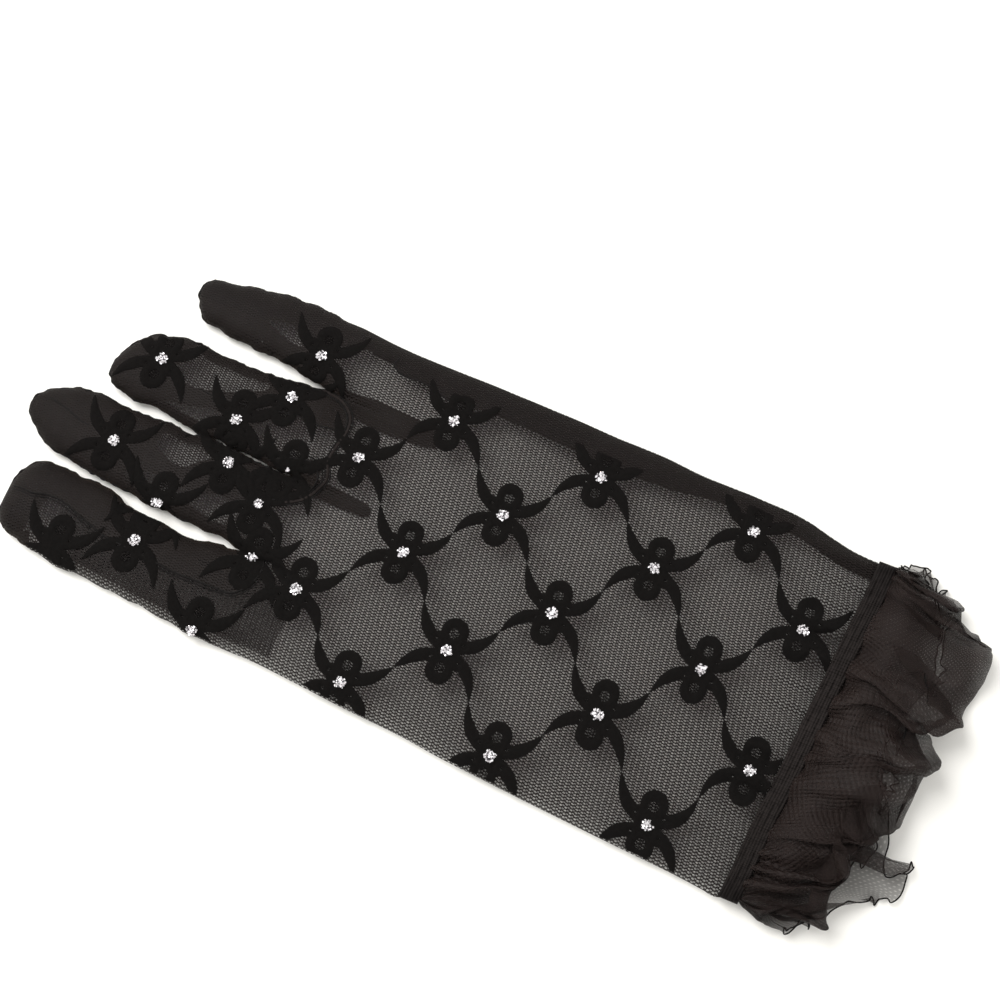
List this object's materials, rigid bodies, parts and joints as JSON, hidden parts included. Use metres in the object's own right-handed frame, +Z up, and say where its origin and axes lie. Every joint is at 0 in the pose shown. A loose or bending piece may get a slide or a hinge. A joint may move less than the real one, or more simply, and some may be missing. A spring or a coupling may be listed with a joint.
{
  "type": "sheer glove",
  "caption": "Sheer stretch-net dress glove for a right hand with a flower lattice, knitted gussets between the fingers, an elastic wrist and a gathered ruffle.",
  "frame": {"origin": "middle of the glove's outline seen from above, on the surface that its palm lies on", "axes": "+Y from the cuff towards the fingertips, +Z up out of the back of the hand, +X towards the little finger"},
  "size_m": [0.1012, 0.232, 0.0143],
  "materials": {
    "net": "sheer black stretch net",
    "knit": "opaque black stretch knit",
    "elastic": "ribbed black elastic",
    "chiffon": "sheer black chiffon"
  },
  "bodies": {
    "root": {"hand_net": "net", "thumb": "net", "fourchette_index_middle": "knit", "fourchette_middle_ring": "knit", "fourchette_ring_little": "knit", "side_strip": "knit", "elastic_band": "elastic", "ruffle": "chiffon"}
  },
  "joints": []
}
